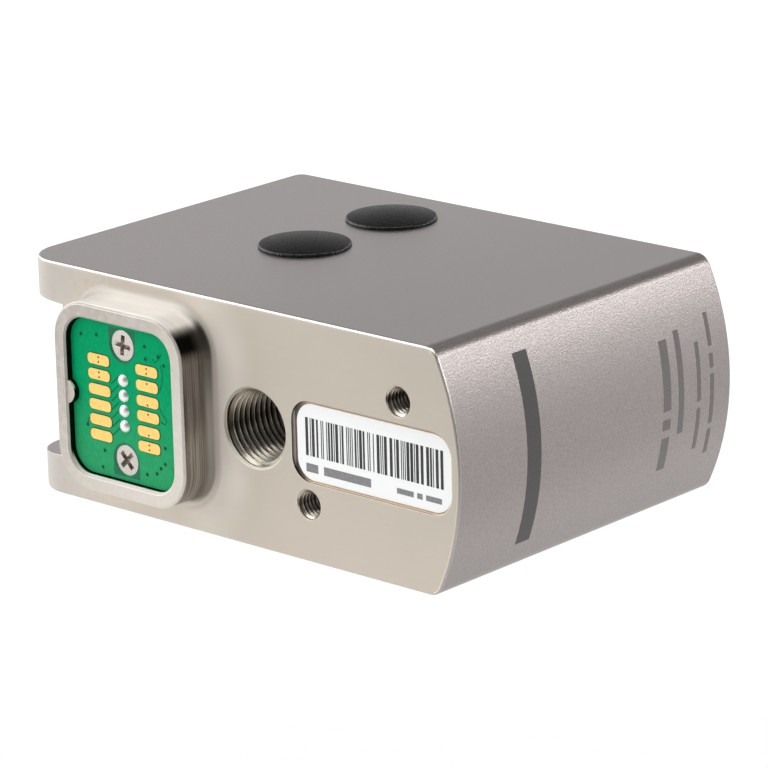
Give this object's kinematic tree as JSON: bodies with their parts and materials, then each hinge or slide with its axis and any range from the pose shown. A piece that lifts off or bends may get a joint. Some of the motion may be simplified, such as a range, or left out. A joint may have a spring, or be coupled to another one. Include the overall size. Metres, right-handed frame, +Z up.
{
  "type": "force sensor",
  "caption": "Milled block force sensor with a keyed contact connector, threaded mounting hole, rear slide channel, curved front and a threaded load stud at its far end.",
  "frame": {"origin": "on the resting plane, under the middle of the part's bounding box", "axes": "+Z up from the flat side it lies on, +X from the rear flanges to the curved front, +Y from the connector face to the load stud"},
  "size_m": [0.094, 0.0896, 0.0411],
  "materials": {
    "blasted_aluminium": "bead-blasted and milled, bare",
    "machined_aluminium": "milled",
    "steel": "turned, satin",
    "standoff_brass": "turned",
    "green_laminate": "solder mask",
    "gold_plate": "gold plated, satin",
    "solder": "bright solder",
    "black_plastic": "moulded",
    "plug_plastic": "fine moulded grain",
    "label_film": "printed film",
    "black_rubber": "matte",
    "gauge_film": "polyimide film",
    "grey_cable": "soft insulation"
  },
  "bodies": {
    "root": {"housing": "blasted_aluminium", "end_cover": "machined_aluminium", "load_cell": "machined_aluminium", "board_screws": "steel", "cover_screws": "steel", "cell_screws": "steel", "signal_screws": "steel", "overload_pin": "steel", "load_shaft": "steel", "shaft_nut": "steel", "board_standoffs": "standoff_brass", "contact_board": "green_laminate", "signal_board": "green_laminate", "contact_pads": "gold_plate", "header_pins": "solder", "header_base": "black_plastic", "lead_socket": "black_plastic", "signal_chips": "black_plastic", "access_plugs": "plug_plastic", "serial_label": "label_film", "cover_gasket": "black_rubber", "shaft_seal": "black_rubber", "strain_gauges": "gauge_film", "gauge_terminals": "gauge_film", "lead_ribbon": "grey_cable", "gauge_ribbon": "grey_cable"}
  },
  "joints": []
}
